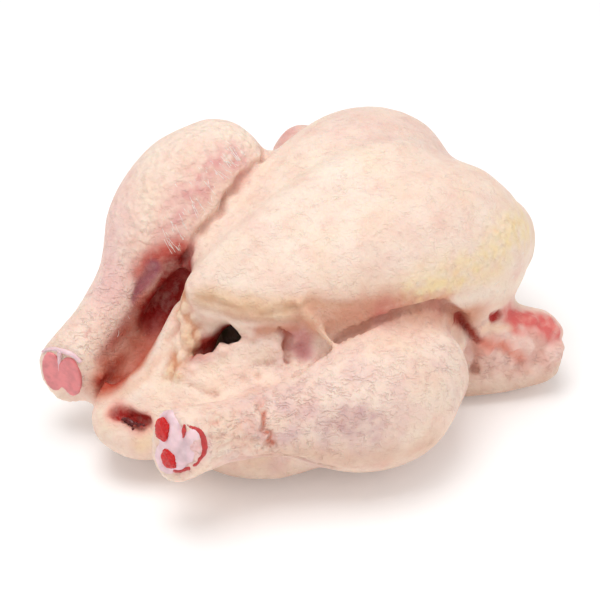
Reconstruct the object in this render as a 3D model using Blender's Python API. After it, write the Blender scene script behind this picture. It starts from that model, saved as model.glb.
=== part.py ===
"""A whole raw chicken, lying on its back, as a set of faceted solids.

The carcass is one solid: lofted masses of flesh that a voxel remesh grows into one skin.
Planes cut off the feet, and the shank bones and their marrow, which show there, are solids too.
X runs from tail to neck, Y from the near leg to the far leg, and Z up from the table.
"""

import math

import bmesh
import bpy
from mathutils import Matrix, Vector

CM = 0.01

# Driving dimensions, in centimetres.
CLEARANCE = 0.03

# Each mass of flesh is a row of stations: x, y, z of the middle, then half its width and half its depth.
RIBCAGE = (
    (-8.0, 0.3, 2.6, 2.0, 1.7),
    (-6.0, 0.1, 2.8, 3.1, 2.6),
    (-2.0, 0.0, 3.4, 4.0, 3.4),
    (2.5, 0.0, 4.0, 4.6, 4.0),
    (6.0, 0.0, 4.4, 4.3, 4.0),
    (8.3, 0.0, 4.8, 2.8, 2.8),
)
BACK = (
    (-6.6, 0.0, 1.5, 2.4, 1.4),
    (-4.2, -0.8, 1.4, 4.8, 1.5),
    (0.0, -0.1, 1.9, 4.4, 2.0),
    (4.5, 0.0, 2.4, 3.8, 2.2),
)
NEAR_LOBE = (
    (-5.2, 0.2, 6.9, 0.9, 1.1),
    (-3.1, -0.8, 6.6, 2.2, 2.3),
    (0.5, -1.7, 6.7, 3.2, 3.3),
    (4.0, -2.2, 6.6, 3.6, 3.8),
    (6.6, -2.4, 5.5, 3.2, 3.4),
    (8.5, -2.3, 4.8, 1.9, 2.2),
)
FAR_LOBE = (
    (-5.2, 0.4, 6.9, 0.9, 1.1),
    (-3.1, 0.9, 6.7, 2.0, 2.1),
    (0.5, 1.6, 6.8, 3.0, 3.1),
    (4.0, 2.1, 7.0, 3.4, 3.6),
    (6.2, 2.2, 6.5, 3.1, 3.2),
    (7.8, 2.0, 5.2, 1.8, 2.0),
)
KEEL = (
    (-5.4, 0.4, 7.2, 0.8, 0.9),
    (-3.0, 0.1, 8.3, 1.2, 1.2),
    (1.0, 0.0, 9.3, 1.4, 1.3),
    (4.0, 0.0, 9.5, 1.2, 1.2),
    (6.4, 0.0, 8.6, 0.8, 0.9),
)
FLANK = (
    (-9.3, 2.0, 2.3, 1.0, 1.2),
    (-7.5, 1.8, 2.3, 1.6, 1.6),
    (-4.0, 2.4, 3.0, 2.4, 2.6),
    (-1.0, 3.0, 3.6, 2.8, 3.0),
)
NEAR_BELLY = (
    (-8.0, -1.4, 2.4, 1.1, 1.2),
    (-5.8, -2.3, 3.2, 1.4, 1.4),
    (-3.6, -3.0, 3.8, 1.3, 1.4),
)
NEAR_FLAP = (
    (-7.4, -0.8, 3.4, 0.6, 0.7),
    (-6.4, -1.5, 4.2, 0.55, 0.6),
    (-5.0, -2.0, 4.8, 0.55, 0.6),
    (-3.8, -2.4, 5.1, 0.55, 0.6),
    (-2.9, -2.9, 4.8, 0.5, 0.6),
)
FAR_FLAP = (
    (-8.2, 0.9, 3.0, 0.7, 0.7),
    (-7.0, 0.8, 4.1, 0.7, 0.8),
    (-6.2, 1.0, 5.0, 0.7, 0.8),
    (-5.4, 1.3, 5.8, 0.6, 0.7),
)
NEAR_THIGH = (
    (-3.5, -3.2, 2.8, 2.4, 2.2),
    (-0.5, -4.8, 3.2, 2.7, 2.7),
    (1.3, -5.2, 3.6, 2.4, 2.4),
)
NEAR_DRUMSTICK = (
    (-10.8, -3.4, 4.2, 1.3, 1.7),
    (-9.2, -3.65, 4.1, 1.25, 1.6),
    (-7.5, -3.9, 3.9, 1.15, 1.4),
    (-5.2, -4.7, 3.8, 1.5, 1.5),
    (-2.7, -5.4, 3.4, 2.45, 2.7),
    (-0.5, -5.8, 3.3, 2.7, 3.0),
    (1.3, -5.6, 3.6, 2.2, 2.3),
)
FAR_THIGH = (
    (-3.2, 3.2, 3.2, 2.4, 2.4),
    (-1.2, 4.3, 5.8, 2.6, 2.6),
    (-0.2, 5.0, 7.8, 2.3, 2.4),
)
FAR_DRUMSTICK = (
    (-11.0, 3.6, 2.6, 1.3, 1.6),
    (-9.5, 3.9, 3.4, 1.3, 1.45),
    (-7.8, 4.2, 4.4, 1.2, 1.3),
    (-6.0, 4.5, 5.7, 1.45, 1.5),
    (-4.3, 4.8, 7.0, 2.45, 2.45),
    (-2.2, 5.1, 8.0, 2.75, 2.8),
    (-0.5, 5.3, 8.5, 2.3, 2.4),
)
NEAR_UPPER_WING = (
    (4.8, -4.0, 3.5, 1.9, 1.7),
    (6.3, -5.0, 2.7, 1.4, 1.35),
    (7.8, -6.0, 2.1, 1.35, 1.3),
)
NEAR_FOREWING = (
    (7.7, -6.2, 1.35, 1.25, 1.15),
    (6.0, -5.6, 1.1, 1.1, 1.0),
    (4.2, -4.8, 1.0, 0.9, 0.85),
)
FAR_UPPER_WING = (
    (5.8, 4.2, 4.8, 1.9, 1.8),
    (5.3, 5.4, 6.0, 1.4, 1.4),
    (4.3, 6.1, 7.1, 1.2, 1.2),
)
FAR_FOREWING = (
    (4.2, 6.3, 6.7, 1.1, 1.1),
    (4.8, 6.2, 5.0, 1.0, 1.0),
    (5.6, 5.6, 3.4, 0.9, 0.8),
)
NECK = (
    (5.0, 0.0, 6.7, 2.6, 2.6),
    (7.2, 0.0, 5.5, 2.7, 2.6),
    (8.3, 0.0, 4.0, 2.3, 2.1),
    (7.8, 0.0, 2.7, 1.8, 1.5),
)
TAIL = (
    (-6.5, 0.2, 2.3, 2.4, 1.8),
    (-8.6, 0.5, 2.0, 2.0, 1.4),
    (-9.7, 0.9, 2.4, 1.4, 1.0),
)
MASSES = (RIBCAGE, BACK, NEAR_LOBE, FAR_LOBE, KEEL, FLANK, NEAR_BELLY, NEAR_FLAP, FAR_FLAP, NEAR_THIGH,
          NEAR_DRUMSTICK, FAR_THIGH, FAR_DRUMSTICK, NEAR_UPPER_WING, NEAR_FOREWING, FAR_UPPER_WING,
          FAR_FOREWING, NECK, TAIL)

# The body cavity, from outside its slit of a mouth to its end under the breast.
CAVITY = (
    (-7.6, -1.4, 7.0, 0.65, 1.2),
    (-6.2, -1.2, 5.9, 0.65, 1.2),
    (-5.0, -1.0, 4.8, 0.75, 1.2),
    (-3.2, -0.4, 4.2, 1.7, 1.3),
    (0.5, 0.0, 4.3, 2.5, 1.9),
    (3.5, 0.0, 4.4, 1.6, 1.3),
)

# The shank bones. Each ends at the hock in two knuckles, side by side on the far leg and one over the
# other on the near leg, whose foot was cut off through them.
NEAR_BONE = (
    (-9.2, -3.5, 4.15, 0.55, 0.75),
    (-8.0, -3.8, 3.95, 0.42, 0.5),
    (-5.0, -4.7, 3.7, 0.42, 0.42),
    (-2.0, -5.4, 3.4, 0.5, 0.5),
)
FAR_BONE = (
    (-9.4, 3.9, 3.5, 0.7, 0.7),
    (-8.4, 4.1, 4.1, 0.45, 0.5),
    (-5.2, 4.6, 6.3, 0.42, 0.42),
    (-2.6, 5.0, 7.8, 0.5, 0.5),
)
KNUCKLE_LENGTH = 0.6
NEAR_KNUCKLES = (
    Vector((-9.9, -3.2, 4.7)),
    Vector((-9.9, -3.4, 3.55)),
)
NEAR_KNUCKLE_SIZE = (0.56, 0.6)
FAR_KNUCKLES = (
    Vector((-10.15, 4.25, 3.2)),
    Vector((-9.75, 3.5, 3.2)),
)
FAR_KNUCKLE_SIZE = (0.44, 0.95)
MARROW_SIZE = (0.34, 0.37)
MARROW_LENGTH = 0.35

# The planes that took the feet off: a point and the way that the cut faces.
NEAR_CUT = (Vector((-9.9, -3.4, 4.1)), Vector((-0.95, -0.1, 0.25)).normalized())
FAR_CUT = (Vector((-10.0, 3.8, 3.2)), Vector((-0.88, -0.45, 0.0)).normalized())
FAR_BONE_PROUD = 0.12

# Width, height and depth of the blocks that cut off the feet and what would sink into the table.
FOOT_BLOCK = (3.6, 6.0, 4.0)
TABLE_BLOCK = (40.0, 40.0, 4.0)

# How a skin is grown: its voxels in centimetres, its smoothing steps and the share of triangles kept.
CARCASS_SKIN = (0.22, 6, 0.1)
BONE_SKIN = (0.1, 2, 0.055)

RING_SIDES = 20
STEPS_BETWEEN_STATIONS = 6
CAP_ANGLES = (25, 50, 72)


def clear_scene():
    for obj in list(bpy.data.objects):
        bpy.data.objects.remove(obj)


def catmull_rom(stations, steps):
    """Stations read from a smooth curve through the given ones."""
    padded = [stations[0], *stations, stations[-1]]
    made = []
    for a, b, c, d in zip(padded, padded[1:], padded[2:], padded[3:]):
        for i in range(steps):
            t = i / steps
            made.append([
                0.5 * (2 * q + (r - p) * t + (2 * p - 5 * q + 4 * r - s) * t * t + (3 * q - p - 3 * r + s) * t**3)
                for p, q, r, s in zip(a, b, c, d)
            ])
    return [*made, list(stations[-1])]


def add_ring(bm, middle, along, across, half_width, half_depth):
    """One oval of vertices, square to the direction along."""
    up = along.cross(across).normalized()
    ring = []
    for i in range(RING_SIDES):
        angle = 2 * math.pi * i / RING_SIDES
        offset = across * (half_width * math.cos(angle)) + up * (half_depth * math.sin(angle))
        ring.append(bm.verts.new(middle + offset))
    return ring


def cap(ring, way):
    """Ovals that shrink to close a mass with a round end."""
    middle, along, across, half_width, half_depth = ring
    reach = 0.8 * min(half_width, half_depth)
    made = []
    for degrees in CAP_ANGLES:
        angle = math.radians(degrees)
        shift = along * (way * reach * math.sin(angle))
        made.append((middle + shift, along, across, half_width * math.cos(angle), half_depth * math.cos(angle)))
    return made


def add_mass(bm, stations, steps=STEPS_BETWEEN_STATIONS):
    """Lofts one mass of flesh, with round ends, through its stations."""
    rows = catmull_rom(stations, steps)
    middles = [Vector(row[:3]) * CM for row in rows]
    rings = []
    for i, row in enumerate(rows):
        before, after = middles[max(i - 1, 0)], middles[min(i + 1, len(rows) - 1)]
        along = (after - before).normalized()
        across = along.cross(Vector((0, 0, 1))).normalized()
        rings.append((middles[i], along, across, row[3] * CM, row[4] * CM))
    capped = [*cap(rings[0], -1)[::-1], *rings, *cap(rings[-1], 1)]
    loops = [add_ring(bm, *ring) for ring in capped]
    for first, second in zip(loops, loops[1:]):
        for i in range(RING_SIDES):
            j = (i + 1) % RING_SIDES
            bm.faces.new((first[i], first[j], second[j], second[i]))
    bm.faces.new(loops[0][::-1])
    bm.faces.new(loops[-1])


def mesh_object(name, bm):
    bmesh.ops.recalc_face_normals(bm, faces=bm.faces[:])
    mesh = bpy.data.meshes.new(name)
    bm.to_mesh(mesh)
    bm.free()
    obj = bpy.data.objects.new(name, mesh)
    bpy.context.scene.collection.objects.link(obj)
    return obj


def as_cutter(obj):
    obj.hide_render = True
    obj.display_type = "WIRE"
    return obj


def block(name, point, facing, width, height, depth):
    """A block that stands on a plane, on the side that the plane faces."""
    bm = bmesh.new()
    bmesh.ops.create_cube(bm, size=CM)
    size = Matrix.Diagonal((width, height, depth, 1))
    lift = Matrix.Translation((0, 0, depth * CM / 2))
    turn = facing.to_track_quat("Z", "Y").to_matrix().to_4x4()
    bmesh.ops.transform(bm, matrix=Matrix.Translation(point * CM) @ turn @ lift @ size, verts=bm.verts)
    return as_cutter(mesh_object(name, bm))


def cut(obj, cutter):
    boolean = obj.modifiers.new(cutter.name, "BOOLEAN")
    boolean.operation = "DIFFERENCE"
    boolean.solver = "EXACT"
    boolean.object = cutter


def grow_skin(obj, voxel, smoothing, keep):
    """Turns overlapping masses into one body with soft creases and fewer triangles."""
    remesh = obj.modifiers.new("one_skin", "REMESH")
    remesh.mode = "VOXEL"
    remesh.voxel_size = voxel * CM
    remesh.use_smooth_shade = True
    smooth = obj.modifiers.new("soften", "SMOOTH")
    smooth.factor = 0.5
    smooth.iterations = smoothing
    decimate = obj.modifiers.new("fewer", "DECIMATE")
    decimate.ratio = keep


def material(obj, colour, roughness):
    made = bpy.data.materials.new(obj.name)
    made.use_nodes = True
    shader = made.node_tree.nodes["Principled BSDF"]
    shader.inputs["Base Color"].default_value = (*colour, 1.0)
    shader.inputs["Roughness"].default_value = roughness
    shader.inputs["Metallic"].default_value = 0.0
    obj.data.materials.append(made)


def knuckle(middle, size, along, length=KNUCKLE_LENGTH):
    """Stations of a short blunt mass that reaches length to each side of middle."""
    first, last = middle - along * length, middle + along * length
    return ((*first, *size), (*middle, *size), (*last, *size))


def bone_masses(shaft, knuckles, size, along):
    return (shaft, *(knuckle(middle, size, along) for middle in knuckles))


def grown(name, masses, voxel, smoothing, keep):
    bm = bmesh.new()
    for stations in masses:
        add_mass(bm, stations)
    obj = mesh_object(name, bm)
    grow_skin(obj, voxel, smoothing, keep)
    return obj


def bone(name, masses, cutters):
    obj = grown(name, masses, *BONE_SKIN)
    for cutter in cutters:
        cut(obj, cutter)
    material(obj, (0.90, 0.74, 0.72), 0.35)
    return obj


def bore(name, masses):
    """The hole for a bone: the same shape, a clearance larger all round."""
    obj = grown(name, masses, *BONE_SKIN)
    swell = obj.modifiers.new("clearance", "DISPLACE")
    swell.mid_level = 0.0
    swell.strength = CLEARANCE * CM
    return as_cutter(obj)


def marrow(name, middle, foot):
    """A plug of red marrow that ends flush with the cut through the bone."""
    bm = bmesh.new()
    add_mass(bm, knuckle(middle, MARROW_SIZE, NEAR_CUT[1], MARROW_LENGTH), 1)
    obj = mesh_object(name, bm)
    cut(obj, foot)
    material(obj, (0.62, 0.04, 0.04), 0.35)
    return obj


def marrow_bore(name, middle):
    bm = bmesh.new()
    size = [half + CLEARANCE for half in MARROW_SIZE]
    add_mass(bm, knuckle(middle, size, NEAR_CUT[1], MARROW_LENGTH + CLEARANCE), 1)
    return as_cutter(mesh_object(name, bm))


def carcass(cutters):
    obj = grown("chicken", MASSES, *CARCASS_SKIN)
    for cutter in cutters:
        cut(obj, cutter)
    material(obj, (0.83, 0.66, 0.55), 0.45)
    return obj


def centre_on_table(skin):
    """Moves every object so that the origin is under the middle of the carcass's box."""
    solid = skin.evaluated_get(bpy.context.evaluated_depsgraph_get())
    low, high = (Vector(pick(corner[axis] for corner in solid.bound_box) for axis in range(3)) for pick in (min, max))
    for obj in bpy.data.objects:
        obj.location = (-(low.x + high.x) / 2, -(low.y + high.y) / 2, -low.z)


def main():
    clear_scene()
    near_foot = block("near_foot", *NEAR_CUT, *FOOT_BLOCK)
    far_foot = block("far_foot", *FAR_CUT, *FOOT_BLOCK)
    far_joint = block("far_joint", FAR_CUT[0] + FAR_CUT[1] * FAR_BONE_PROUD, FAR_CUT[1], *FOOT_BLOCK)
    table = block("table", Vector((0, 0, 0)), Vector((0, 0, -1)), *TABLE_BLOCK)
    bm = bmesh.new()
    add_mass(bm, CAVITY, 2)
    hollow = as_cutter(mesh_object("hollow", bm))

    near_masses = bone_masses(NEAR_BONE, NEAR_KNUCKLES, NEAR_KNUCKLE_SIZE, NEAR_CUT[1])
    far_masses = bone_masses(FAR_BONE, FAR_KNUCKLES, FAR_KNUCKLE_SIZE, FAR_CUT[1])
    bores = (bore("near_bore", near_masses), bore("far_bore", far_masses))
    skin = carcass((table, near_foot, far_foot, hollow, *bores))

    marrow_bores = [marrow_bore(f"marrow_bore_{i}", middle) for i, middle in enumerate(NEAR_KNUCKLES)]
    bone("near_shank_bone", near_masses, (near_foot, *marrow_bores))
    bone("far_shank_bone", far_masses, (far_joint,))
    marrow("near_marrow_upper", NEAR_KNUCKLES[0], near_foot)
    marrow("near_marrow_lower", NEAR_KNUCKLES[1], near_foot)
    centre_on_table(skin)


main()
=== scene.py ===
import math

import bpy
import numpy as np
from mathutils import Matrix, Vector, noise


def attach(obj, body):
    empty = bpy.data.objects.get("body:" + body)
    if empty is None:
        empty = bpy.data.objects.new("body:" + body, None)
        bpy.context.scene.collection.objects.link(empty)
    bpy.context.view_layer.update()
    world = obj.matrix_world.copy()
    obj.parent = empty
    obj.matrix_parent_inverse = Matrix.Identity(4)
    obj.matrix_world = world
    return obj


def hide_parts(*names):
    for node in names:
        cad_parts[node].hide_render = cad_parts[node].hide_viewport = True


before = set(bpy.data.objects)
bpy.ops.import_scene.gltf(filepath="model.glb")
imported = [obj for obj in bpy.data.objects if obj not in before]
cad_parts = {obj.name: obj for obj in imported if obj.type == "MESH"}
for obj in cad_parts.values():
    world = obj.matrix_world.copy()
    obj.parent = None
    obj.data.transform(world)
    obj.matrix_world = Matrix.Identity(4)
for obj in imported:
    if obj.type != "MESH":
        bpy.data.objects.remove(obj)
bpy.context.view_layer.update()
noise.seed_set(7)


# The table and the studio: white paper under the bird, one large soft box above it and two pale fills,
# seen from the tail end, over the leg that lies flat, well above the table.
TABLE_SIZE = 6.0
TABLE_DROP = 0.0002
VIEW_AZIMUTH, VIEW_ELEVATION = math.radians(-39), math.radians(38)
VIEW_DISTANCE = 0.90
VIEW_AIM = Vector((0.0107, 0.0227, 0.0274))
LENS = 124.2
LIGHT_AIM = Vector((0, 0, 0.04))
SOFT_BOXES = (
    ("soft_box", (-0.15, 0.10, 1.30), 0.8, 9.0),
    ("tail_fill", (-1.3, -0.6, 0.8), 1.0, 1.7),
    ("side_fill", (0.9, -1.1, 0.7), 1.0, 3.4),
)

bpy.ops.mesh.primitive_plane_add(size=TABLE_SIZE, location=(0, 0, -TABLE_DROP))
table = bpy.context.active_object
table.name = "table"
paper = bpy.data.materials.new("white_paper")
paper.use_nodes = True
paper_shader = paper.node_tree.nodes["Principled BSDF"]
paper_shader.inputs["Base Color"].default_value = (0.95, 0.94, 0.94, 1.0)
paper_shader.inputs["Roughness"].default_value = 0.8
paper_shader.inputs["Emission Color"].default_value = (1.0, 1.0, 1.0, 1.0)
paper_shader.inputs["Emission Strength"].default_value = 0.12
table.data.materials.append(paper)

for name, place, size, power in SOFT_BOXES:
    bpy.ops.object.light_add(type="AREA", location=place)
    light = bpy.context.active_object
    light.name = name
    light.data.size = size
    light.data.energy = power
    light.rotation_euler = (LIGHT_AIM - Vector(place)).to_track_quat("-Z", "Y").to_euler()

world = bpy.data.worlds.new("studio")
world.use_nodes = True
world.node_tree.nodes["Background"].inputs["Color"].default_value = (1.0, 0.985, 0.975, 1.0)
world.node_tree.nodes["Background"].inputs["Strength"].default_value = 0.52
bpy.context.scene.world = world
bpy.context.scene.view_settings.view_transform = "Standard"

view_back = Vector((
    math.sin(VIEW_AZIMUTH) * math.cos(VIEW_ELEVATION),
    -math.cos(VIEW_AZIMUTH) * math.cos(VIEW_ELEVATION),
    math.sin(VIEW_ELEVATION),
))
bpy.ops.object.camera_add(location=VIEW_AIM + view_back * VIEW_DISTANCE)
camera = bpy.context.active_object
camera.rotation_euler = view_back.to_track_quat("Z", "Y").to_euler()
camera.data.lens = LENS
bpy.context.scene.camera = camera


# The skin: one thin, moist, elastic hide over the flesh of breast, legs, wings and tail, plucked bare.
# It is grown fine and smooth from the solid bird, then each part of it takes its own folds, pores and colours.
# Places and widths on the skin are in centimetres.
SKIN_GRAIN = 0.00135
SKIN_SMOOTHING = 11
EDGE_SMOOTHING = 3
PLUG_SWELL = 0.0006
SAME_CORNER = 0.00001
CM = 0.01

CREAM = (247, 220, 202)
PALE = (251, 230, 214)
PINK = (238, 190, 178)
YELLOW = (247, 219, 172)


def alone(piece):
    for obj in bpy.context.selected_objects:
        obj.select_set(False)
    piece.select_set(True)
    bpy.context.view_layer.objects.active = piece


def modify(piece, kind, **settings):
    alone(piece)
    modifier = piece.modifiers.new(kind.lower(), kind)
    for key, value in settings.items():
        setattr(modifier, key, value)
    bpy.ops.object.modifier_apply(modifier=modifier.name)


def copied(node, name):
    """A copy of a solid of the frame, with the corners of its loose triangles merged."""
    piece = bpy.data.objects.new(name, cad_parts[node].data.copy())
    bpy.context.scene.collection.objects.link(piece)
    alone(piece)
    bpy.ops.object.mode_set(mode="EDIT")
    bpy.ops.mesh.select_all(action="SELECT")
    bpy.ops.mesh.remove_doubles(threshold=SAME_CORNER)
    bpy.ops.object.mode_set(mode="OBJECT")
    piece.data.materials.clear()
    return piece


def strand(name, points):
    """A soft round strand through the points, each one x, y, z and the radius there."""
    curve = bpy.data.curves.new(name, "CURVE")
    curve.dimensions = "3D"
    curve.bevel_depth = CM
    curve.bevel_resolution = 2
    curve.use_fill_caps = True
    line = curve.splines.new("NURBS")
    line.points.add(len(points) - 1)
    for spot, (x, y, z, radius) in zip(line.points, points):
        spot.co = (x * CM, y * CM, z * CM, 1.0)
        spot.radius = radius
    line.order_u = min(4, len(points))
    line.resolution_u = 6
    line.use_endpoint_u = True
    piece = bpy.data.objects.new(name, curve)
    bpy.context.scene.collection.objects.link(piece)
    alone(piece)
    bpy.ops.object.convert(target="MESH")
    return bpy.context.active_object


def joined(main, others):
    alone(main)
    for other in others:
        other.select_set(True)
    bpy.ops.object.join()


def lowered(points, drop):
    """The same points a little further down and into the body."""
    return [(x - 0.25 * drop, y - 0.35 * drop, z - 0.9 * drop, r) for x, y, z, r in points]


FAT_EDGE = (
    (-5.6, 1.15, 7.05, 0.28), (-5.85, 1.05, 6.35, 0.36), (-6.0, 0.55, 5.75, 0.38),
    (-6.35, 0.3, 5.3, 0.36), (-6.8, 0.2, 4.95, 0.3), (-7.3, -0.2, 4.75, 0.24),
)
ROLLED_EDGE = (
    (-7.1, -0.45, 4.9, 0.17), (-6.4, -0.5, 4.95, 0.22), (-5.7, -0.8, 5.2, 0.2), (-5.1, -1.15, 5.55, 0.2),
    (-4.4, -1.7, 5.9, 0.18), (-3.8, -2.35, 5.85, 0.2), (-3.6, -2.7, 5.3, 0.24), (-4.1, -2.75, 5.0, 0.2),
)
FLAP = ((-7.0, -0.6, 4.7, 0.25), (-6.2, -0.7, 4.8, 0.32), (-5.4, -1.1, 5.1, 0.32), (-4.5, -1.8, 5.6, 0.3),
        (-3.9, -2.4, 5.5, 0.28))
FLAP_DROPS = (0.0, 0.35, 0.7)
SKIN_STRAP = (
    (-3.1, -2.75, 7.7, 0.15), (-2.9, -3.0, 7.35, 0.2), (-2.65, -3.3, 6.7, 0.17), (-2.4, -3.9, 6.0, 0.14),
    (-2.1, -4.3, 5.7, 0.12),
)
HOLLOWS = (
    ("gap", ((-4.0, 3.1, 7.3, 0.2), (-4.6, 3.3, 6.2, 0.45), (-5.2, 3.45, 5.0, 0.6), (-6.5, 2.8, 4.3, 0.75),
             (-7.9, 2.3, 3.5, 0.7), (-9.4, 2.4, 2.4, 0.5))),
    ("mouth", ((-6.9, -0.1, 4.8, 0.18), (-6.1, -0.2, 5.2, 0.34), (-5.4, -0.5, 5.5, 0.42),
               (-4.8, -0.9, 5.7, 0.36), (-4.3, -1.3, 5.9, 0.16))),
    ("throat", ((-6.1, -0.2, 4.9, 0.3), (-5.2, -0.4, 4.9, 0.5), (-4.2, -0.6, 4.8, 0.6))),
)

KEEL_FILL = ((1.5, 0.0, 9.3, 1.1), (3.5, -0.2, 9.3, 1.2), (5.5, -0.4, 8.8, 1.2), (6.9, -0.6, 8.0, 1.2),
             (7.8, -0.8, 6.9, 1.0))
WING_LUMPS = (((6.0, -5.3, 3.3, 0.5), (6.6, -5.5, 3.5, 0.5), (7.2, -5.9, 3.3, 0.5)),
              ((4.9, -5.2, 3.7, 0.35), (5.4, -5.5, 3.6, 0.42), (6.2, -5.9, 3.1, 0.4), (6.9, -6.4, 2.6, 0.35)),
              ((5.2, -5.3, 1.6, 0.5), (6.2, -5.8, 1.5, 0.6), (7.1, -6.2, 1.7, 0.5)))

skin = copied("chicken", "skin")
near_plug = copied("near_shank_bone", "near_plug")
far_plug = copied("far_shank_bone", "far_plug")
for plug in (near_plug, far_plug):
    modify(plug, "DISPLACE", strength=PLUG_SWELL, mid_level=0.0)
for title, points in HOLLOWS:
    hollow = strand(title, points)
    modify(skin, "BOOLEAN", operation="DIFFERENCE", solver="EXACT", object=hollow)
    bpy.data.objects.remove(hollow)
joined(skin, [near_plug, far_plug, strand("keel_fill", KEEL_FILL)]
       + [strand("wing_lump", points) for points in WING_LUMPS])
modify(skin, "REMESH", mode="VOXEL", voxel_size=SKIN_GRAIN)
modify(skin, "SMOOTH", factor=0.5, iterations=SKIN_SMOOTHING)
edges = [strand("fat_edge", FAT_EDGE), strand("rolled_edge", ROLLED_EDGE), strand("skin_strap", SKIN_STRAP)]
joined(skin, edges + [strand("flap", lowered(FLAP, drop)) for drop in FLAP_DROPS])
modify(skin, "REMESH", mode="VOXEL", voxel_size=SKIN_GRAIN)
modify(skin, "SMOOTH", factor=0.5, iterations=EDGE_SMOOTHING)

count = len(skin.data.vertices)
spots = np.empty(count * 3, np.float32)
skin.data.vertices.foreach_get("co", spots)
spots = spots.reshape(-1, 3) / CM
rest = spots.copy()
bent = rest + 0.16 * np.array([noise.noise_vector(Vector(p) / 0.7) for p in rest], np.float32)
facing = np.empty(count * 3, np.float32)
skin.data.vertices.foreach_get("normal", facing)
facing = facing.reshape(-1, 3)


def linear(colour):
    part = np.array(colour, np.float32) / 255
    return np.where(part < 0.04045, part / 12.92, ((part + 0.055) / 1.055) ** 2.4)


def near(points, width):
    """1 on the line through the points, falling softly to 0 a width away from it."""
    gap = np.full(count, np.inf, np.float32)
    places = [np.array(p[:3], np.float32) for p in points]
    for start, end in zip(places, places[1:] or places):
        along = end - start
        share = np.clip((bent - start) @ along / max(float(along @ along), 1e-9), 0, 1)
        away = bent - start - share[:, None] * along
        gap = np.minimum(gap, np.einsum("ij,ij->i", away, away))
    return np.clip(1 - gap / width**2, 0, 1) ** 2


def groove(points, width, depth):
    """A steep-sided crease along the points."""
    lift(-depth * np.sqrt(np.sqrt(near(points, width))))


def ripple(size, seed, stretch=(1, 1, 1)):
    """Soft bumps and hollows of that size, from about -1 to 1."""
    shift = Vector((seed * 3.7, seed * 5.3, seed * 7.9))
    scaled = rest / (size * np.array(stretch, np.float32))
    return np.array([noise.noise(Vector(p) + shift) for p in scaled], np.float32)


def crinkle(size, seed, stretch=(1, 1, 1)):
    """Sharp little creases between swollen folds: 0 in the creases, 1 on the folds."""
    return np.clip(np.abs(ripple(size, seed, stretch)) * 2.6, 0, 1)


def knobs(size, seed):
    """Round lumps of that size: 1 on their tops and 0 where they meet."""
    shift = Vector((seed, seed, seed))
    return np.array([1 - min(1, 1.5 * noise.voronoi(Vector(p) / size + shift)[0][0]) for p in rest], np.float32)


def lift(amount):
    spots[:] += facing * np.asarray(amount, np.float32)[:, None]


# Mixes a colour into the skin's colour layer: real stains and tones, and also painted shade and painted highlight.
def stain_and_shade(colour, share):
    global flesh_and_shade
    flesh_and_shade += (linear(colour) - flesh_and_shade) * np.clip(share, 0, 1)[:, None]


broad, middling, fine = ripple(2.6, 1), ripple(0.9, 2), ripple(0.35, 3)
tight = crinkle(0.5, 4)
flesh_and_shade = np.tile(linear(CREAM).astype(np.float32), (count, 1))
pebbles = np.zeros(count, np.float32)
wrinkles = np.full(count, 0.28, np.float32)
stain_and_shade(PALE, 0.5 + broad)
stain_and_shade(PINK, 0.25 * (middling + 0.2))
stain_and_shade(YELLOW, 0.25 * (ripple(1.4, 5) + 0.1))
lift(0.012 * middling + 0.006 * fine)

# The breast: taut over the keel, with a paler band painted along it as highlight, a pad of pebbly yellow fat by
# the wing, painted shade where it turns under and towards the neck, and slack folds running across above the body
# opening, with painted shade in their hollows and in the crease along the far leg.
KEEL = ((-4.6, 1.6, 7.9), (-1.6, 1.5, 9.4), (0.7, -0.1, 10.5), (1.7, 0.1, 10.7))
FAT_PAD = ((1.5, -4.9, 7.4), (2.8, -5.2, 7.4), (4.4, -5.3, 7.5), (6.1, -4.9, 7.9), (8.4, -3.8, 7.0))
BREAST_UNDER_SHADE = ((-2.6, -3.2, 7.0), (-0.1, -4.4, 6.9), (2.3, -5.2, 6.2), (4.0, -5.1, 4.9))
RAW_STREAK = ((-0.2, -4.6, 6.8), (0.8, -4.9, 6.9), (2.0, -5.2, 6.7), (3.0, -5.3, 6.2))
NECK_SKIN = ((3.2, -5.3, 6.3), (5.2, -5.4, 5.6), (7.4, -4.9, 5.0))
LEG_CREASE = ((1.2, 4.4, 9.5), (-1.26, 3.3, 9.5), (-2.5, 2.9, 9.05), (-4.0, 2.8, 8.0), (-4.6, 2.9, 7.1))
SLACK_FOLDS = (
    ((-5.9, 0.2, 7.5), (-5.4, -0.3, 7.3), (-4.7, -1.2, 7.2), (-4.1, -2.0, 7.25), (-3.0, -2.9, 7.5)),
    ((-6.0, 0.1, 7.05), (-5.2, -0.8, 6.9), (-4.3, -1.9, 6.85), (-3.2, -2.8, 6.95)),
    ((-5.6, 0.2, 8.0), (-4.9, -0.9, 7.85), (-4.0, -2.2, 7.7), (-2.6, -3.2, 7.6), (-1.2, -3.9, 7.4)),
)
BREAST_FLUSH = ((3.0, -3.0, 9.8), (6.0, -3.6, 8.6), (0.0, -3.4, 8.8))
FOLD_SHADE = ((-5.6, 0.0, 7.5), (-4.4, -1.7, 7.4), (-2.8, -3.1, 7.6))
SHOULDER = ((4.5, 2.0, 10.2), (8.0, 0.5, 8.6))
pad = near(FAT_PAD, 1.5)
under_shade = near(BREAST_UNDER_SHADE, 1.5)
# Painted highlight: a paler band along the keel, on the top of the breast.
stain_and_shade(PALE, 0.4 * near(KEEL, 1.2))
stain_and_shade((238, 206, 190), 0.5 * near(BREAST_FLUSH, 2.2) * (0.8 + middling))
stain_and_shade((232, 192, 154), 0.9 * near(FOLD_SHADE, 0.8))
# Painted shade: a little darker over the far top of the breast towards the neck.
stain_and_shade((238, 208, 196), 0.7 * near(SHOULDER, 3.0))
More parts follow.
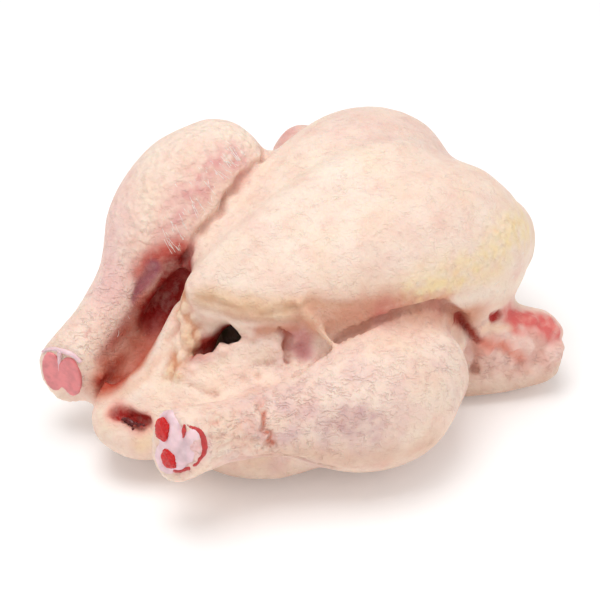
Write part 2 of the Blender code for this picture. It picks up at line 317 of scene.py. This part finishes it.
# Painted shade: darker pinkish brown where the breast turns under, away from the light.
stain_and_shade((218, 160, 134), 1.1 * under_shade)
stain_and_shade((212, 128, 114), 1.3 * near(RAW_STREAK, 0.8) * (0.8 + 0.6 * fine))
stain_and_shade((250, 222, 172), 0.85 * pad * (0.8 + 0.9 * fine))
stain_and_shade((250, 232, 214), 0.9 * near(NECK_SKIN, 0.7))
pebbles = np.maximum(pebbles, 0.8 * pad)
lift(0.03 * pad * fine)
groove(LEG_CREASE, 0.22, 0.34)
lift(0.10 * near([(x + 0.15, y - 0.3, z + 0.1) for x, y, z in LEG_CREASE], 0.4))
# Painted shade: darker red-brown in the crease between the far leg and the breast.
stain_and_shade((196, 122, 104), 0.6 * near(LEG_CREASE, 0.3))
# In each slack fold the hollow is sunk, the skin above it raised, and its line painted darker as shade.
for line, depth in zip(SLACK_FOLDS, (0.13, 0.12, 0.05)):
    lift(-depth * near(line, 0.3) + 0.6 * depth * near([(x, y, z + 0.28) for x, y, z in line], 0.3))
    stain_and_shade((216, 166, 132), 0.55 * near(line, 0.24))

# The far leg, standing up off the breast: big soft follicles, a streak of feather roots in the crease, a red flush
# and a bruise down the inner side, and thin grey-pink skin to the hock.
FEATHER_TRACT = ((-5.0, 3.1, 8.0), (-4.5, 3.4, 8.8), (-3.5, 3.6, 9.6), (-2.2, 3.9, 10.2), (-1.0, 3.9, 10.2))
FAR_FLUSH = ((-6.2, 3.5, 7.0), (-5.4, 3.2, 7.6), (-4.7, 3.0, 7.7))
BRUISE = ((-6.5, 3.5, 5.9), (-6.0, 3.5, 6.5), (-5.7, 3.4, 7.0))
FAR_SHANK = ((-9.8, 3.8, 3.4), (-7.6, 4.2, 5.2), (-6.2, 4.4, 6.2))
FAR_LEG = ((-8.0, 4.3, 5.0), (-5.5, 4.7, 7.3), (-3.0, 5.0, 8.4), (0.2, 5.4, 8.9))
NICKS = (((-9.0, 3.7, 4.95), (-8.7, 3.75, 5.1)), ((-9.1, 4.3, 5.2), (-8.8, 4.4, 5.3)))
SHIN_FLUSH = ((-7.8, 4.2, 5.6), (-5.9, 4.6, 7.9))
LOW_FLUSH = ((-8.6, 2.9, 4.0), (-7.3, 3.4, 4.6), (-6.3, 3.4, 5.6))
OUTER_EDGE = ((-4.4, 6.4, 8.6), (-6.2, 5.6, 8.0), (-7.4, 4.6, 6.4))
FOLLICLES = ((-5.2, 4.8, 8.4), (-2.4, 5.0, 9.8), (-0.2, 5.2, 10.2))
leg = near(FAR_LEG, 3.4)
stain_and_shade((246, 214, 200), 0.5 * leg)
stain_and_shade(PINK, 0.5 * near(SHIN_FLUSH, 1.8) * (0.6 + middling))
stain_and_shade((226, 162, 158), 0.8 * near(FEATHER_TRACT, 1.4) * (0.8 + 0.8 * fine))
stain_and_shade((204, 96, 84), 1.2 * near(FAR_FLUSH, 0.9))
stain_and_shade((168, 96, 110), 1.3 * near(BRUISE, 0.5))
stain_and_shade((196, 116, 108), 1.0 * near(LOW_FLUSH, 0.6))
stain_and_shade((240, 200, 196), 0.7 * near(OUTER_EDGE, 1.6))
lift(-0.10 * near(BRUISE, 0.4))
pebbles = np.maximum(pebbles, 1.0 * near(FOLLICLES, 3.0))
wrinkles += 0.5 * near(FAR_SHANK, 1.7)
lift(-0.04 * near(FAR_SHANK, 1.7) * (1 - tight))
for line in NICKS:
    lift(-0.06 * near(line, 0.16))
    stain_and_shade((190, 80, 74), 0.8 * near(line, 0.14))

# The deep gap between the far leg and the body: wet red flesh at its bottom, painted dark, nearly black red, as
# shade in the gap, with the flank's thin skin rising from it in one long rounded fold.
GAP = ((-5.0, 3.3, 5.4), (-5.6, 3.1, 4.8), (-6.6, 2.6, 4.3), (-7.8, 2.3, 3.7), (-8.8, 2.3, 3.0))
GAP_TOP = ((-4.6, 3.0, 6.9), (-4.9, 3.2, 6.0), (-5.4, 3.3, 5.2), (-6.0, 3.1, 4.7))
FLANK_FOLD = ((-5.6, 1.6, 6.6), (-6.2, 1.2, 5.6), (-7.0, 0.9, 4.9), (-8.2, 0.8, 4.2), (-9.2, 1.2, 3.6))
# Painted shade with the flesh's red: darker and redder into the gap, darkest in the crease at its top.
stain_and_shade((214, 124, 90), near(GAP, 1.5) * 1.6)
stain_and_shade((176, 44, 22), near(GAP, 1.1) * 1.8)
stain_and_shade((150, 12, 6), near(GAP_TOP, 1.1) * 2.2)
stain_and_shade((238, 196, 170), 0.7 * near(FLANK_FOLD, 0.5))

# The body opening: a slit under the breast with red flesh inside, painted nearly black as shade deep in the
# cavity, a knobbly edge of cream fat on the far side, painted darker where its knobs meet as shade, and a thin
# rolled flap of belly skin on the near side, painted darker in its folds, at its end and in the recess as shade.
INSIDE = ((-4.8, -0.7, 4.9), (-3.0, -0.3, 4.3), (0.5, 0.1, 4.4), (3.5, 0.1, 4.4))
THROAT = ((-6.1, -0.1, 5.0), (-5.3, -0.1, 4.9), (-4.6, -0.3, 5.2), (-4.4, -0.2, 5.6))
RECESS = ((-3.3, -2.7, 6.3), (-3.0, -2.95, 5.9), (-3.0, -3.0, 5.4))
FLAP_FOLDS = (
    ((-5.2, -2.2, 5.1), (-4.6, -2.5, 5.2), (-3.9, -2.8, 5.2)),
    ((-5.0, -2.5, 4.9), (-5.2, -2.9, 4.8), (-5.5, -3.3, 4.9)),
    ((-5.5, -2.2, 4.85), (-5.6, -2.6, 4.7)),
    ((-6.9, 1.0, 5.3), (-6.5, 1.0, 5.6), (-6.2, 1.0, 6.0)),
    ((-7.3, -1.0, 4.5), (-7.0, -1.5, 4.4), (-6.6, -2.0, 4.4)),
)
RECESS_BOTTOM = ((-3.2, -2.8, 5.5), (-3.0, -3.0, 5.2))
MOUTH_SHADE = ((-4.4, -1.9, 6.4), (-3.6, -2.6, 6.6), (-3.3, -2.8, 6.6))
stain_and_shade((236, 200, 170), 0.7 * near(FAT_EDGE, 0.6))
stain_and_shade((246, 214, 204), 0.6 * near(ROLLED_EDGE, 0.5))
lift(near(FAT_EDGE[1:], 0.7) * (0.5 * knobs(0.5, 7) - 0.08))
lift(near(ROLLED_EDGE, 0.5) * (0.4 * knobs(0.6, 8) - 0.06))
# Each flap fold is a groove with its line painted darker as shade.
for line in FLAP_FOLDS:
    groove(line, 0.15, 0.14)
    stain_and_shade((214, 156, 136), 0.6 * near(line, 0.14))
# Pink flesh in the recess, painted darker towards its bottom as shade.
stain_and_shade((222, 168, 166), 1.3 * near(RECESS, 0.7))
stain_and_shade((186, 112, 116), 0.9 * near(RECESS_BOTTOM, 0.4))
FLAP_END = ((-3.75, -2.45, 6.4), (-3.45, -2.65, 6.0), (-3.5, -2.75, 5.5), (-3.75, -2.9, 5.15))
groove(FLAP_END, 0.2, 0.28)
# Painted shade: dark red-brown in the groove at the flap's end.
stain_and_shade((176, 92, 70), 1.1 * near(FLAP_END, 0.24))
stain_and_shade((206, 138, 108), 0.8 * near(MOUTH_SHADE, 0.45))
stain_and_shade((250, 216, 184), 0.8 * near(SKIN_STRAP, 0.26))
# Painted shade over red flesh: dark red in the throat and nearly black inside the cavity.
stain_and_shade((170, 26, 12), near(THROAT, 1.0) * 1.8)
stain_and_shade((90, 3, 1), near(INSIDE, 2.0) * 3.0 * (np.abs(rest[:, 0]) < 4.0))
stain_and_shade((242, 206, 172), 1.6 * near(FAT_EDGE, 0.55))
# Painted shade: tan brown where the fat knobs meet.
stain_and_shade((214, 148, 112), 1.4 * near(FAT_EDGE, 0.8) * np.clip(0.3 - knobs(0.5, 7), 0, 0.3) * 3)
stain_and_shade((244, 208, 190), 0.9 * near(ROLLED_EDGE, 0.3))

# The near leg, lying flat: a smooth oval thigh under a net of thread-like creases, a ragged orange step where the
# thick skin of the shank begins, and crumpled skin from there to the cut; its creases and its underside are
# painted darker as shade.
NEAR_LEG = ((-5.6, -4.9, 4.2), (-2.5, -5.7, 4.0), (0.6, -5.9, 4.0))
NEAR_SHANK = ((-9.8, -3.4, 4.2), (-8.2, -3.8, 4.2), (-6.9, -4.3, 4.2))
STEP = ((-5.95, -4.0, 5.3), (-6.1, -4.25, 5.2), (-6.45, -4.45, 5.1), (-6.25, -4.65, 4.98), (-6.55, -4.85, 4.8),
        (-6.75, -5.0, 4.5), (-6.45, -5.15, 4.3), (-6.65, -5.2, 4.0), (-6.5, -5.3, 3.7))
SHANK_LINES = (((-8.9, -3.6, 5.3), (-8.3, -4.0, 5.25), (-7.7, -4.2, 5.2), (-7.0, -4.5, 5.05)),
               ((-8.8, -4.3, 4.9), (-8.2, -4.5, 4.75), (-7.6, -4.7, 4.8), (-6.9, -4.9, 4.6)),
               ((-8.7, -4.6, 4.3), (-8.0, -4.7, 4.3), (-7.3, -5.0, 4.2), (-6.8, -5.1, 4.3)),
               ((-7.8, -3.9, 5.3), (-7.6, -4.3, 5.1), (-7.9, -4.6, 4.7)),
               ((-7.2, -4.2, 5.2), (-7.3, -4.7, 4.9), (-7.1, -5.0, 4.5)))
UNDER_LEG = ((-8.4, -4.4, 2.9), (-6.9, -5.0, 3.0), (-6.0, -5.3, 2.8), (-5.0, -5.6, 2.3), (-4.2, -6.2, 1.9))
KNEE = ((-0.6, -7.8, 5.0), (1.1, -7.7, 3.9), (1.8, -7.1, 4.6), (1.7, -6.0, 5.6))
THIGH_CREASE = (
    (-3.9, -3.85, 5.25), (-2.9, -3.8, 5.4), (-2.2, -3.85, 5.6), (-1.6, -3.95, 5.9), (-0.4, -4.35, 6.35),
    (0.3, -4.6, 6.5), (1.0, -4.8, 6.5), (1.7, -5.0, 6.5), (2.4, -5.2, 6.3), (3.2, -5.2, 5.6), (3.8, -5.1, 4.9),
    (4.1, -5.2, 3.9), (4.2, -5.3, 3.1), (4.5, -5.2, 1.8),
)
THIGH_PATCH = ((-4.2, -6.6, 4.6), (-3.0, -7.2, 4.3))
LEG_UNDER_SHADE = ((-6.2, -5.4, 2.9), (-3.0, -7.4, 2.6), (-0.5, -8.0, 2.4))
CUT_EDGE = ((-9.6, -2.9, 4.9), (-9.7, -3.5, 3.9), (-9.3, -4.0, 4.5))
shank = near(NEAR_SHANK, 2.2)
groove(THIGH_CREASE, 0.26, 0.4)
lift(0.16 * near([(x - 0.1, y - 0.4, z - 0.15) for x, y, z in THIGH_CREASE], 0.55))
# Painted shade: brown in the crease between the thigh and the breast.
stain_and_shade((186, 120, 96), 0.7 * near(THIGH_CREASE, 0.34))
stain_and_shade((244, 212, 198), 0.55 * near(NEAR_LEG, 3.6))
stain_and_shade((222, 184, 184), 1.3 * near(NEAR_LEG, 3.6) * np.clip(middling + 0.1, 0, 1))
stain_and_shade((206, 166, 166), 0.8 * near(THIGH_PATCH, 1.2) * (0.7 + fine))
stain_and_shade((248, 226, 206), 0.6 * near(KNEE, 1.0))
# Painted shade: darker tan over the underside of the leg.
stain_and_shade((224, 186, 162), 0.7 * near(LEG_UNDER_SHADE, 1.4))
wrinkles = np.maximum(wrinkles, 0.9 * near(NEAR_LEG, 3.8))
wrinkles = np.maximum(wrinkles, shank)
lift(-0.07 * shank * (1 - tight) - 0.03 * shank * (1 - crinkle(0.28, 9)))
# The shank's orange tone, laid only in the creases of its crinkles, so also painted crease shade.
stain_and_shade((238, 176, 150), 0.5 * shank * (1 - tight))
# Each shank line is a groove painted darker along it as shade.
for line in SHANK_LINES:
    groove(line, 0.14, 0.10)
    stain_and_shade((232, 158, 138), 0.55 * near(line, 0.13))
groove(STEP, 0.17, 0.2)
lift(0.16 * near([(x - 0.25, y + 0.05, z) for x, y, z in STEP], 0.35))
stain_and_shade((212, 110, 82), 1.0 * near(STEP, 0.14))
groove(UNDER_LEG, 0.22, 0.25)
# Painted shade: dark brown in the groove where the leg meets the back.
stain_and_shade((176, 134, 108), 0.7 * near(UNDER_LEG, 0.3))
stain_and_shade((246, 200, 202), 1.2 * near(CUT_EDGE, 0.95))

# The tail: a short fat stump with the vent over it, a raw pink hole with dark clots in it.
VENT = ((-9.7, 0.75, 3.3), (-9.45, 0.2, 3.2), (-9.2, -0.35, 3.1))
TAIL_FAT = ((-9.6, -0.9, 2.4), (-9.2, -1.3, 3.2))
stain_and_shade((230, 150, 136), 1.2 * near(VENT, 0.75))
# Raw red flesh, painted darker in the middle of the hole as shade.
stain_and_shade((168, 26, 18), 1.8 * near(VENT, 0.42))
lift(-0.5 * near(VENT, 0.42) + 0.12 * near([(x, y, z + 0.45) for x, y, z in VENT], 0.35))
lift(0.3 * near(VENT, 0.4) * knobs(0.3, 21))
stain_and_shade(YELLOW, 0.6 * near(TAIL_FAT, 0.8))

# The near wing, folded under with its tip cut away: raw meat on the upper arm, a flushed swirl of skin below it,
# painted shade where its lumps meet, in its crease and in the hole.
WING_RAW = ((6.4, -5.5, 3.8), (7.2, -5.8, 3.6), (7.9, -6.3, 3.1))
WING_HOLE = ((5.4, -5.2, 4.2), (5.8, -5.2, 4.2))
WING_CREASE = ((3.6, -4.9, 4.8), (4.1, -5.1, 4.2), (4.5, -5.3, 3.5))
WING = ((4.9, -5.4, 2.9), (6.2, -5.9, 2.6), (7.4, -6.5, 2.4))
WING_FLUSH = ((4.6, -5.4, 3.4), (5.6, -5.8, 3.0), (6.2, -6.0, 2.3))
TORN_SKIN = ((4.7, -5.2, 4.0), (5.3, -5.4, 3.9), (6.1, -5.7, 3.5))
WING_FOLDS = ((4.8, -5.4, 2.0), (7.4, -6.5, 1.8))
FAR_WING = ((3.9, 6.8, 7.8), (4.8, 6.6, 6.6))
wing = near(WING, 2.1) * (rest[:, 2] < 4.5)
stain_and_shade((244, 206, 194), 1.1 * wing)
lift(wing * (0.42 * knobs(0.7, 31) - 0.1) * (rest[:, 2] < 4.2))
# Painted shade: darker where the wing's lumps meet.
stain_and_shade((214, 150, 134), 0.8 * wing * np.clip(0.35 - 1.4 * knobs(0.8, 31), 0, 1) * 2)
stain_and_shade((224, 106, 102), 1.3 * near(WING_RAW, 1.0) * (0.9 + 0.7 * fine))
stain_and_shade((236, 150, 130), 0.9 * near(WING_FLUSH, 0.5))
stain_and_shade((250, 216, 190), 1.1 * near(TORN_SKIN, 0.3))
# Painted shade: dark red in the hole and in the crease by the wing.
stain_and_shade((176, 22, 16), 1.8 * near(WING_HOLE, 0.3))
stain_and_shade((160, 48, 28), 1.4 * near(WING_CREASE, 0.32))
lift(-0.2 * near(WING_HOLE, 0.35) - 0.15 * near(WING_CREASE, 0.3))
wrinkles = np.maximum(wrinkles, 0.8 * near(WING_FOLDS, 1.4))
stain_and_shade((226, 160, 156), 0.8 * near(FAR_WING, 1.4))

# The back that the bird lies on: a slack bag of greyish cream skin, painted darker towards the table as shade.
# With it the shaped points and the two colour layers go back to the mesh.
stain_and_shade((206, 170, 148), 0.8 * np.clip((1.9 - rest[:, 2]) / 1.2, 0, 1))

skin.data.vertices.foreach_set("co", (spots * CM).ravel())
skin.data.update()
for face in skin.data.polygons:
    face.use_smooth = True
for title, values in (("flesh_and_shade", np.c_[flesh_and_shade, np.ones(count)]),
                      ("grain", np.c_[pebbles, wrinkles, np.zeros(count), np.ones(count)])):
    skin.data.color_attributes.new(title, "FLOAT_COLOR", "POINT").data.foreach_set(
        "color", values.astype(np.float32).ravel())


class Flow:
    """A value or colour running through a material, so that sums over it are written as sums."""

    def __init__(self, tree, socket):
        self.tree, self.socket = tree, socket

    def node(self, kind, output=0, settings=None, **inputs):
        made = self.tree.nodes.new(kind)
        for key, value in (settings or {}).items():
            setattr(made, key, value)
        for key, value in inputs.items():
            slot = made.inputs[int(key[1:]) if key[1:].isdigit() else key.replace("_", " ")]
            if isinstance(value, Flow):
                self.tree.links.new(value.socket, slot)
            else:
                slot.default_value = value
        return Flow(self.tree, made.outputs[output])

    def sum(self, operation, first, second=0.0, clamp=False):
        return self.node("ShaderNodeMath", 0, {"operation": operation, "use_clamp": clamp}, i0=first, i1=second)

    def __add__(self, other):
        return self.sum("ADD", self, other)

    __radd__ = __add__

    def __sub__(self, other):
        return self.sum("SUBTRACT", self, other)

    def __rsub__(self, other):
        return self.sum("SUBTRACT", other, self)

    def __mul__(self, other):
        return self.sum("MULTIPLY", self, other)

    __rmul__ = __mul__

    def clamp(self):
        return self.sum("ADD", self, 0.0, True)

    def mixed(self, share, other):
        """This colour, with the other one mixed in by the share."""
        settings = {"data_type": "RGBA"}
        return self.node("ShaderNodeMix", "Result", settings, i0=share, i6=self, i7=other)


# The skin's finish: moist and faintly translucent, with follicle dots where pebbles are strong, a broken net of
# thread-like creases where wrinkles are, painted darker red-brown in them as shade, and pink and cream blotches
# everywhere.
hide = bpy.data.materials.new("chicken_skin")
hide.use_nodes = True
tree = hide.node_tree
shader = tree.nodes["Principled BSDF"]
start = Flow(tree, None)
tint = start.node("ShaderNodeAttribute", "Color", {"attribute_name": "flesh_and_shade"})
grain = start.node("ShaderNodeAttribute", "Color", {"attribute_name": "grain"})
parts = start.node("ShaderNodeSeparateColor", "Red", None, Color=grain).socket.node.outputs
pebble, wrinkle = Flow(tree, parts[0]), Flow(tree, parts[1])
place = start.node("ShaderNodeTexCoord", "Object")
cell = start.node("ShaderNodeTexVoronoi", "Distance", {"feature": "SMOOTH_F1"},
                  Vector=place, Scale=300.0, Smoothness=0.4)
dots = (1.0 - cell * 1.6).clamp()
waver = start.node("ShaderNodeTexNoise", "Color", None, Vector=place, Scale=160.0, Detail=2.0)
swayed = start.node("ShaderNodeMix", 1, {"data_type": "VECTOR"}, i0=0.004, i4=place, i5=waver)
waves = start.node("ShaderNodeTexWave", 1, {"wave_type": "BANDS", "bands_direction": "DIAGONAL"},
                   Vector=swayed, Scale=190.0, Distortion=12.0, Detail=4.0, Detail_Scale=1.8)
breaks = start.node("ShaderNodeTexNoise", 0, None, Vector=place, Scale=300.0, Detail=2.0)
threads = ((waves - 0.45) * 2.2).clamp() * ((breaks - 0.38) * 3.0).clamp()
soft = start.node("ShaderNodeTexNoise", 0, None, Vector=place, Scale=420.0, Detail=4.0)
blotch = start.node("ShaderNodeTexNoise", 0, None, Vector=place, Scale=90.0, Detail=5.0, Roughness=0.65)
relief = dots * pebble * 0.8 - threads * wrinkle * 0.55 + soft * 0.6
bump = start.node("ShaderNodeBump", 0, None, Strength=1.0, Distance=0.0012, Height=relief)
colour = tint.mixed(((blotch - 0.5) * 1.1).clamp(), (0.74, 0.33, 0.27, 1.0))
colour = colour.mixed(((0.5 - blotch) * 1.2).clamp(), (1.0, 0.86, 0.72, 1.0))
colour = colour.mixed((dots * pebble * 0.45).clamp(), (1.0, 0.84, 0.68, 1.0))
# Painted shade: darker red-brown in the thread-like creases.
colour = colour.mixed((threads * wrinkle * 0.38).clamp(), (0.66, 0.30, 0.22, 1.0))
tree.links.new(colour.socket, shader.inputs["Base Color"])
tree.links.new(bump.socket, shader.inputs["Normal"])
tree.links.new((0.42 + soft * 0.25).socket, shader.inputs["Roughness"])
shader.inputs["Subsurface Weight"].default_value = 0.18
shader.inputs["Subsurface Radius"].default_value = (1.0, 0.38, 0.22)
shader.inputs["Subsurface Scale"].default_value = 0.0022
shader.inputs["Specular IOR Level"].default_value = 0.32
skin.data.materials.append(hide)
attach(skin, "root")
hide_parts("chicken")


# The cut ends of the two shanks: pearly gristle over the sawn knuckles, and red spongy marrow in the near one.
NEAR_MARROW = (("near_marrow_upper", (-9.92, -2.83, 4.88), (0.14, 0.36, 0.52), 11),
               ("near_marrow_lower", (-10.08, -3.42, 3.86), (0.14, 0.42, 0.38), 12))
NEAR_GRISTLE = (((-9.58, -2.92, 4.80), (0.24, 0.62, 0.66)), ((-9.78, -3.42, 3.88), (0.24, 0.62, 0.52)),
                ((-9.62, -3.30, 4.40), (0.24, 0.60, 0.60)), ((-9.22, -3.80, 4.80), (0.30, 0.42, 0.50)),
                ((-9.44, -3.98, 4.25), (0.26, 0.34, 0.40)))
FAR_RIM = ((-10.36, 5.0, 4.0, 0.06), (-10.12, 4.6, 4.4, 0.10), (-9.97, 4.15, 4.35, 0.10),
           (-9.72, 3.7, 4.45, 0.12), (-9.58, 3.35, 4.1, 0.08))
FAR_SEAM = ((-10.05, 4.15, 4.4, 0.10), (-10.12, 4.18, 3.7, 0.07), (-10.14, 4.2, 2.9, 0.06),
            (-10.1, 4.3, 2.5, 0.04))
KNUCKLE_SWELL, KNUCKLE_GRAIN, KNUCKLE_SMOOTHING = 0.0009, 0.0006, 9
CUT_FACING = Vector((-0.95, -0.1, 0.25))


def lump_at(spot, size, roughness, seed):
    """A flattened knob lying in the near cut, thin along the shank."""
    bpy.ops.mesh.primitive_ico_sphere_add(subdivisions=5, radius=1.0)
    lump = bpy.context.active_object
    turn = CUT_FACING.to_track_quat("X", "Z")
    for vert in lump.data.vertices:
        swell = 1 + roughness * (noise.noise(vert.co * 1.5 + Vector((seed, 0, 0)))
                                 + 0.4 * noise.noise(vert.co * 6.0 + Vector((seed, 0, 0))))
        shape = Vector([vert.co[k] * size[k] * swell for k in range(3)])
        vert.co = (turn @ shape + Vector(spot)) * CM
    return lump


def plain(name, tint, roughness, bumps, depth):
    """A moist glossy material with small bumps of that size."""
    made = bpy.data.materials.new(name)
    made.use_nodes = True
    shader = made.node_tree.nodes["Principled BSDF"]
    start = Flow(made.node_tree, None)
    place = start.node("ShaderNodeTexCoord", "Object")
    rough = start.node("ShaderNodeTexNoise", 0, None, Vector=place, Scale=1.0 / bumps, Detail=3.0)
    bump = start.node("ShaderNodeBump", 0, None, Strength=1.0, Distance=depth, Height=rough)
    base = start.node("ShaderNodeRGB").socket
    base.default_value = (*linear(tint), 1.0)
    shade = Flow(made.node_tree, base).mixed((rough - 0.4).clamp() * 1.4, (*linear(tint) * 0.45, 1.0))
    made.node_tree.links.new(shade.socket, shader.inputs["Base Color"])
    made.node_tree.links.new(bump.socket, shader.inputs["Normal"])
    shader.inputs["Roughness"].default_value = roughness
    shader.inputs["Subsurface Weight"].default_value = 0.15
    shader.inputs["Subsurface Scale"].default_value = 0.001
    return made


def settled(piece, material, node):
    piece.data.materials.clear()
    piece.data.materials.append(material)
    for face in piece.data.polygons:
        face.use_smooth = True
    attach(piece, "root")
    if node:
        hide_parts(node)


gristle = plain("pearly_gristle", (250, 216, 222), 0.3, 0.005, 0.0004)
flushed = plain("flushed_gristle", (238, 142, 144), 0.3, 0.004, 0.0004)
red_marrow = plain("red_marrow", (222, 14, 12), 0.25, 0.0011, 0.0008)
near_knuckles = copied("near_shank_bone", "near_knuckles")
joined(near_knuckles, [lump_at(spot, size, 0.12, k) for k, (spot, size) in enumerate(NEAR_GRISTLE)])
far_knuckles = copied("far_shank_bone", "far_knuckles")
for knuckles, material, node in ((near_knuckles, gristle, "near_shank_bone"),
                                 (far_knuckles, flushed, "far_shank_bone")):
    modify(knuckles, "DISPLACE", strength=KNUCKLE_SWELL, mid_level=0.0)
    modify(knuckles, "REMESH", mode="VOXEL", voxel_size=KNUCKLE_GRAIN)
    modify(knuckles, "SMOOTH", factor=0.5, iterations=KNUCKLE_SMOOTHING)
    settled(knuckles, material, node)
rim = strand("far_rim", FAR_RIM)
joined(rim, [strand("far_seam", FAR_SEAM)])
settled(rim, gristle, None)
for node, spot, size, seed in NEAR_MARROW:
    settled(lump_at(spot, size, 0.2, seed), red_marrow, node)

# The clots in the vent: dark, wet and stringy blood. Three strands are joined and grown into one lumpy piece.
WET_GRAIN = 0.0004
CLOT_LUMP, CLOT_LUMP_SIZE = 0.0012, 0.0016
VENT_CLOTS = (((-9.75, 0.35, 3.15, 0.05), (-9.5, 0.15, 3.1, 0.12), (-9.45, -0.1, 3.05, 0.06)),
              ((-9.55, 0.1, 2.95, 0.06), (-9.35, -0.2, 3.0, 0.11), (-9.15, -0.45, 3.05, 0.05)),
              ((-9.6, 0.3, 3.0, 0.04), (-9.62, 0.05, 2.85, 0.08), (-9.5, -0.15, 2.8, 0.05)))
clots = [strand("vent_clots", line) for line in VENT_CLOTS]
joined(clots[0], clots[1:])
modify(clots[0], "REMESH", mode="VOXEL", voxel_size=WET_GRAIN)
for vert in clots[0].data.vertices:
    vert.co += vert.normal * CLOT_LUMP * noise.noise(vert.co / CLOT_LUMP_SIZE)
settled(clots[0], plain("dark_clot", (104, 14, 12), 0.3, 0.002, 0.0005), None)

# The torn flesh beside the near cut: a thin red line of meat where the skin has drawn back from the gristle, and
# a short slit across it. Two strands are grown into one uneven piece.
FLESH_LUMP, FLESH_LUMP_SIZE = 0.0006, 0.0022
NEAR_FLESH = ((-9.35, -3.70, 5.42, 0.06), (-9.05, -4.12, 5.20, 0.13), (-8.98, -4.40, 4.80, 0.13),
              (-9.20, -4.52, 4.35, 0.10), (-9.60, -4.35, 3.85, 0.12), (-9.90, -3.95, 3.45, 0.09),
              (-10.0, -3.5, 3.3, 0.06))
NEAR_SLIT = ((-9.42, -3.62, 5.42, 0.05), (-9.55, -3.74, 5.15, 0.10), (-9.60, -3.78, 4.90, 0.05))
torn = strand("near_flesh", NEAR_FLESH)
joined(torn, [strand("near_slit", NEAR_SLIT)])
modify(torn, "REMESH", mode="VOXEL", voxel_size=WET_GRAIN)
for vert in torn.data.vertices:
    vert.co += vert.normal * FLESH_LUMP * noise.noise(vert.co / FLESH_LUMP_SIZE)
settled(torn, plain("torn_flesh", (206, 62, 62), 0.3, 0.002, 0.0005), None)

# Down and pin feathers left by the plucking: fine pale threads. Each one is laid on the nearest skin, a few listed
# and the rest scattered along the crease of the far leg.
THREAD_WIDTH, THREAD_LIFT = 0.010, 0.00005
CREASE_THREADS = 60
THREADS = (
    ((-7.9, 3.5, 5.3), (-7.6, 3.4, 5.0), (-7.5, 3.3, 4.6), (-7.7, 3.2, 4.5)),
    ((-7.3, 3.6, 5.7), (-7.1, 3.5, 5.3), (-7.0, 3.4, 5.0)),
    ((5.1, -5.3, 6.2), (5.7, -5.3, 6.4), (6.4, -5.2, 6.2), (7.0, -5.0, 6.2)),
    ((5.3, -5.3, 5.7), (5.9, -5.4, 6.1), (6.6, -5.2, 6.6), (7.2, -4.9, 6.6)),
    ((5.9, -5.4, 5.3), (5.8, -5.4, 5.7), (6.4, -5.3, 6.0)),
    ((6.6, -1.0, 9.3), (6.9, -1.8, 9.0), (7.0, -2.4, 8.7)),
    ((-4.9, -4.8, 1.2), (-5.2, -5.0, 0.8), (-5.0, -5.1, 0.4)),
)
pieces = []
chance = np.random.default_rng(5)
lines = [list(line) for line in THREADS]
for step in np.linspace(0, 1, CREASE_THREADS):
    at = np.array([-5.0, 3.0, 7.7]) + step * np.array([4.4, 0.9, 2.5]) + chance.normal(0, 0.16, 3)
    lean = np.array([-0.2, 0.35, 0.75]) + chance.normal(0, 0.15, 3)
    reach = chance.uniform(0.5, 1.4)
    lines.append([tuple(at + lean * reach * k) for k in (0, 0.5, 1.0)])
for line in lines:
    laid = []
    for spot in line:
        hit, point, normal, _ = skin.closest_point_on_mesh(Vector(spot) * CM)
        laid.append((*((point + normal * THREAD_LIFT) / CM), THREAD_WIDTH))
    pieces.append(strand("down", laid))
joined(pieces[0], pieces[1:])
down = bpy.context.active_object
down.name = "down"
settled(down, plain("pale_down", (255, 248, 240), 0.5, 0.002, 0.0001), None)
